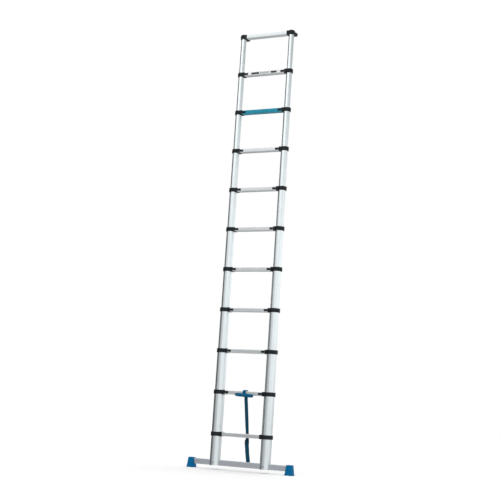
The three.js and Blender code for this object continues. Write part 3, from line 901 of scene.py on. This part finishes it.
def woven(name, dark, light):
    """Woven webbing: two sets of diagonal waves on the band's own UV map give the twill's ridges,
    and a sine across the band its warp. With noise in the yarns they set its height and tone."""
    material, tree, shader = new_material(name, 0.8, 0.0)
    shader.inputs["Specular IOR Level"].default_value = 0.15
    shader.inputs["Sheen Weight"].default_value = 0.04
    where = add_node(tree, "ShaderNodeUVMap", uv_map="weave").outputs["UV"]
    waves = {"Scale": WAVE_PER_METRE / WEAVE_PITCH, "Distortion": 0.3}
    ridges = []
    for turn in (WEAVE_SLANT, -WEAVE_SLANT):
        mapped = add_node(tree, "ShaderNodeMapping", {"Vector": where, "Rotation": (0, 0, turn)})
        inputs = {"Vector": mapped.outputs["Vector"], **waves}
        wave = add_node(tree, "ShaderNodeTexWave", inputs, wave_type="BANDS")
        ridges.append(wave.outputs["Fac"])
    across = add_node(tree, "ShaderNodeSeparateXYZ", {"Vector": where}).outputs["X"]
    phase = combine(tree, "MULTIPLY", across, 2 * math.pi / WARP_PITCH)
    warp = add_node(tree, "ShaderNodeMath", {0: phase}, operation="SINE").outputs[0]
    twill = combine(tree, "MAXIMUM", *ridges)
    twill = combine(tree, "ADD", twill, spread(tree, warp, 0.0, 0.35, -1.0, 1.0))
    yarn = stretched_noise(tree, (1500.0, 1500.0, 400.0), 2.0)
    height = combine(tree, "ADD", twill, yarn)
    tint = spread(tree, height, 0.0, 1.0, 0.6, 1.8)
    tree.links.new(blend_colours(tree, tint, dark, light), shader.inputs["Base Color"])
    bump = add_node(
        tree, "ShaderNodeBump", {"Height": height, "Distance": 0.0002, "Strength": 0.8}
    )
    tree.links.new(bump.outputs["Normal"], shader.inputs["Normal"])
    return material


blue_webbing = woven("blue webbing", (0.001, 0.038, 0.070), (0.003, 0.070, 0.128))


def webbing(name, points, width, count, twist=None):
    """Webbing along a smooth path with its UV map, and its length: the sum of the path's steps."""
    path = smooth_path(points, count)
    grid = band_grid(path, width, STRAP_THICKNESS, twist)
    piece = surface(name, grid)
    length = float(np.linalg.norm(np.diff(path, axis=0), axis=1).sum())
    webbing_uv(piece, *grid.shape[:2], length, width)
    soften(piece, 50)
    return piece, length


buckle_low, buckle_high = (np.array(corner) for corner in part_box("strap_buckle"))
buckle_x, buckle_y, buckle_z = (buckle_low + buckle_high) / 2
UPPER_ROWS, LOWER_ROWS = 120, 160
UPPER_TWIST, TWIST_PLACE, TWIST_SPREAD = 0.22, 0.78, 0.13
place = np.linspace(0, 1, UPPER_ROWS)
upper_twist = UPPER_TWIST * np.exp(-(((place - TWIST_PLACE) / TWIST_SPREAD) ** 2))
upper, upper_length = webbing(
    "strap_upper_webbing",
    [
        (0.0315, -0.0325, handle_low[2] + 0.006), (0.032, -0.0318, 0.505), (0.032, -0.021, 0.462),
        (0.0318, 0.0075, 0.345), (0.0315, 0.0215, 0.288), (0.032, 0.0255, 0.262),
        (0.0325, 0.0285, 0.238), (buckle_x, buckle_y + 0.0046, buckle_z + 0.0135),
        (buckle_x, buckle_y - 0.0040, buckle_z), (buckle_x, buckle_y + 0.0012, buckle_z - 0.0058),
    ],
    STRAP_WIDTH,
    UPPER_ROWS,
    upper_twist,
)
finish_piece(upper, blue_webbing, "section_01", "strap_webbing", "strap_upper")

anchor_low, anchor_high = (np.array(corner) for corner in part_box("strap_anchor"))
anchor_x, _, anchor_z = (anchor_low + anchor_high) / 2
LOWER_WIDTH = 0.030
inner_y, outer_y = (bar_high[1] + 0.0003 + STRAP_THICKNESS * layers for layers in (0.5, 1.55))
down = [
    (buckle_x, buckle_y, buckle_z - 0.013), (0.0350, 0.0255, 0.182), (0.0435, 0.0215, 0.130),
    (0.0555, 0.0170, 0.070),
]
apart = (0.0043, 0.0014, 0.0009, 0.0009)
back_layer = [(x, y + gap, z) for (x, y, z), gap in zip(down, apart)][::-1]
front_layer = [(x, y - gap, z) for (x, y, z), gap in zip(down, apart)]
lower, lower_length = webbing(
    "strap_lower_webbing",
    [
        (anchor_x + 0.0012, outer_y, 0.036),
        (anchor_x, outer_y, 0.052),
        *back_layer,
        (buckle_x, buckle_y, buckle_z - 0.0064),
        *front_layer,
        (anchor_x, inner_y, 0.052),
        (anchor_x + 0.0012, inner_y, 0.036),
    ],
    LOWER_WIDTH,
    LOWER_ROWS,
)
finish_piece(lower, blue_webbing, "section_01", "strap_webbing", "strap_lower")

# ----------------------------------------------------------
# Buckle: a dark moulded frame with a middle bar. The webbing from the handle is threaded over
# the bar, and the lower length is looped round the frame's bottom rail.
# ----------------------------------------------------------
BUCKLE_CORNER = 0.005
BUCKLE_FILL = 0.85  # the round bar's size, as a share of the frame's depth
MIDDLE_BAR_RADIUS, MIDDLE_BAR_INSET, MIDDLE_BAR_FORWARD = 0.0022, 0.004, 0.0008

dark_plastic = moulded(
    "dark blue plastic", (0.003, 0.016, 0.028), (0.006, 0.026, 0.042), roughness=(0.3, 0.45)
)


def buckle_frame(name, low, high):
    """A round bar carried round a rounded rectangle: the path's outward direction and Y carry the
    bar's circle, so the frame closes on itself."""
    size, middle = high - low, (high + low) / 2
    half = size[1] / 2
    path = rounded_rectangle(size[0] - 2 * half, size[2] - 2 * half, BUCKLE_CORNER, 8)
    ahead = np.roll(path, -1, axis=0) - np.roll(path, 1, axis=0)
    outward = np.stack([ahead[:, 1], -ahead[:, 0]], axis=1)
    outward /= np.linalg.norm(outward, axis=1, keepdims=True)
    angle = np.linspace(0, 2 * math.pi, 16, endpoint=False)
    reach = half * np.cos(angle)[None, :, None] * outward[:, None, :]
    grid = np.empty((len(path), len(angle), 3))
    grid[..., 0] = middle[0] + path[:, None, 0] + reach[..., 0] * BUCKLE_FILL
    grid[..., 1] = middle[1] + BUCKLE_FILL * half * np.sin(angle)[None, :]
    grid[..., 2] = middle[2] + path[:, None, 1] + reach[..., 1] * BUCKLE_FILL
    return surface(name, grid, tube=True)


buckle = buckle_frame("strap_buckle_frame", buckle_low, buckle_high)
start, end = buckle_low[0] + MIDDLE_BAR_INSET, buckle_high[0] - MIDDLE_BAR_INSET
join_to(
    buckle, rod(MIDDLE_BAR_RADIUS, 0, start, end, 0, buckle_y - MIDDLE_BAR_FORWARD, buckle_z)
)
soften(buckle)
finish_piece(buckle, dark_plastic, "section_01", "buckle_black", "strap_buckle")

# ----------------------------------------------------------
# Anchor screw: a pan-head screw through both layers of the lower webbing into the bar's back.
# ----------------------------------------------------------
SCREW_HEAD, SCREW_SHANK = 0.006, 0.0025
SCREW_HEAD_HEIGHT, SCREW_RIM, SCREW_FLAT = 0.003, 0.0008, 0.001


def pan_head_screw(name, shank_end, seat, top):
    """A shank and a domed head turned about one axis: the head's radius falls with the cosine of
    the angle as its height rises with the sine."""
    turn = np.linspace(0, math.pi / 2, 8)[:-1]
    radii = SCREW_FLAT + (SCREW_HEAD - SCREW_FLAT) * np.cos(turn)
    heights = seat + SCREW_RIM + (top - seat - SCREW_RIM) * np.sin(turn)
    shank = [(SCREW_SHANK, shank_end), (SCREW_SHANK, seat), (SCREW_HEAD, seat)]
    profile = np.concatenate([shank, np.stack([radii, heights], axis=1)])
    return turned(name, profile, 32, solid=True)


head_top = anchor_high[1]
screw = pan_head_screw(
    "strap_anchor_screw", anchor_low[1], head_top - SCREW_HEAD_HEIGHT, head_top
)
soften(shift(lay_along(screw, 1), anchor_x, 0, anchor_z))
finish_piece(screw, zinc_steel, "section_01", "bolt_steel", "strap_anchor")

# ----------------------------------------------------------
# Studio: a white room that darkens low down and far to both sides, so that round tubes show an
# edge, with brighter and darker patches, over a pale floor. The camera is low, to the front right.
# ----------------------------------------------------------
CAMERA_PLACE = (3.187, -6.794, 0.372)
CAMERA_YAW, CAMERA_PITCH, CAMERA_ROLL = -0.4422, 0.1613, 0.0658
CAMERA_LENS = 74.5


def aim(yaw, pitch, roll):
    """The camera's right, up and forward directions: yaw turns it about Z, pitch lifts it by its
    sine, and roll turns its right and up about forward."""
    ahead = math.cos(pitch)
    forward = np.array([math.sin(yaw) * ahead, math.cos(yaw) * ahead, math.sin(pitch)])
    level = np.array([math.cos(yaw), -math.sin(yaw), 0.0])
    raised = np.cross(level, forward)
    right = math.cos(roll) * level + math.sin(roll) * raised
    up = -math.sin(roll) * level + math.cos(roll) * raised
    return right, up, forward


camera = bpy.data.objects.new("camera", bpy.data.cameras.new("camera"))
bpy.context.scene.collection.objects.link(camera)
camera.data.lens = CAMERA_LENS
camera.data.sensor_width = 36.0
camera.data.clip_end = 200.0
right, up, forward = aim(CAMERA_YAW, CAMERA_PITCH, CAMERA_ROLL)
pose = np.eye(4)
pose[:3, 0], pose[:3, 1], pose[:3, 2], pose[:3, 3] = right, up, -forward, CAMERA_PLACE
camera.matrix_world = Matrix(pose.tolist())
bpy.context.scene.camera = camera

FLOOR_HALF = 60.0
floor_mesh = bpy.data.meshes.new("floor")
floor_signs = [(-1, -1), (1, -1), (1, 1), (-1, 1)]
floor_corners = [(x * FLOOR_HALF, y * FLOOR_HALF, 0.0) for x, y in floor_signs]
floor_mesh.from_pydata(floor_corners, [], [(0, 1, 2, 3)])
floor = bpy.data.objects.new("floor", floor_mesh)
bpy.context.scene.collection.objects.link(floor)
floor.visible_glossy = False
floor.visible_diffuse = False
paper, _, paper_shader = new_material("floor paper", 0.9, 0.0)
paper_shader.inputs["Base Color"].default_value = (0.8, 0.8, 0.8, 1)
paper_shader.inputs["Specular IOR Level"].default_value = 0.0
floor_mesh.materials.append(paper)

overhead = bpy.data.objects.new("overhead", bpy.data.lights.new("overhead", "SUN"))
bpy.context.scene.collection.objects.link(overhead)
overhead.data.energy = 1.15
overhead.data.angle = math.radians(50)
overhead.rotation_euler = (math.radians(-12), math.radians(6), 0)

world = bpy.data.worlds.new("studio")
bpy.context.scene.world = world
world.use_nodes = True
room = world.node_tree
background = room.nodes["Background"]
toward = add_node(room, "ShaderNodeTexCoord").outputs["Generated"]


def room_side(degrees):
    """The level direction that lies this angle to the camera's right of the one towards it."""
    angle = math.atan2(-forward[1], -forward[0]) + math.radians(degrees)
    return (math.cos(angle), math.sin(angle), 0.0)


def room_share(direction, start, end, low=0.0, high=1.0):
    """How bright the room is one way: its dot product with a direction, from start to end,
    becomes low to high by a smooth step."""
    dot = add_node(room, "ShaderNodeVectorMath", {0: toward, 1: direction}, operation="DOT_PRODUCT")
    inputs = {"Value": dot.outputs["Value"], "From Min": start, "From Max": end}
    inputs |= {"To Min": low, "To Max": high}
    node = add_node(room, "ShaderNodeMapRange", inputs, interpolation_type="SMOOTHSTEP")
    return node.outputs["Result"]


def room_patch(degrees, start, end, strength, *heights):
    """A patch of the room: its strength towards one side, times its share at each height."""
    patch = room_share(room_side(degrees), start, end, 0.0, strength)
    for height in heights:
        patch = combine(room, "MULTIPLY", patch, height)
    return patch


UP, DOWN = (0, 0, 1), (0, 0, -1)
far_left = room_share(room_side(-130), 0.42, 0.8, 1.0, 0.09)
far_right = room_share(room_side(125), 0.4, 0.95, 1.0, 0.68)
low_down = room_share(UP, -0.04, 0.09, 0.68, 1.08)
window = room_patch(-50, 0.6, 0.92, 0.42, room_share(UP, 0.19, 0.29))
flag = room_patch(-51, 0.78, 0.96, 0.5, room_share(UP, 0.13, 0.25, 1.0, 0.0))
fill_heights = (room_share(UP, 0.0, 0.07), room_share(UP, 0.2, 0.3, 1.0, 0.0))
right_fill = room_patch(110, 0.2, 0.9, 0.35, *fill_heights)
shade = room_patch(60, 0.15, 0.75, 0.72, room_share(UP, 0.24, 0.36))
lift_start, lift_end = room_share(UP, 0.0, 0.07, 0.0, 0.17), room_share(UP, 0.12, 0.2, 1.0, 0.0)
lift = combine(room, "MULTIPLY", lift_start, lift_end)
level = combine(room, "MULTIPLY", combine(room, "MULTIPLY", far_left, far_right), low_down)
level = combine(room, "ADD", level, right_fill)
level = combine(room, "MULTIPLY", level, combine(room, "ADD", 1.0, lift))
level = combine(room, "ADD", level, window)
for darker in (flag, shade):
    level = combine(room, "MULTIPLY", level, combine(room, "SUBTRACT", 1.0, darker))
level = combine(room, "ADD", level, room_share(UP, 0.4, 0.9, 0.0, 0.25))
level = combine(room, "ADD", level, room_share(DOWN, 0.1, 0.32, 0.0, 0.2))
seen = add_node(room, "ShaderNodeLightPath").outputs["Is Camera Ray"]
shown = add_node(room, "ShaderNodeMix", {"Factor": seen, "A": level, "B": 1.0}, data_type="FLOAT")
room.links.new(shown.outputs["Result"], background.inputs["Strength"])
background.inputs["Color"].default_value = (1, 1, 1, 1)

bpy.context.scene.view_settings.view_transform = "Standard"
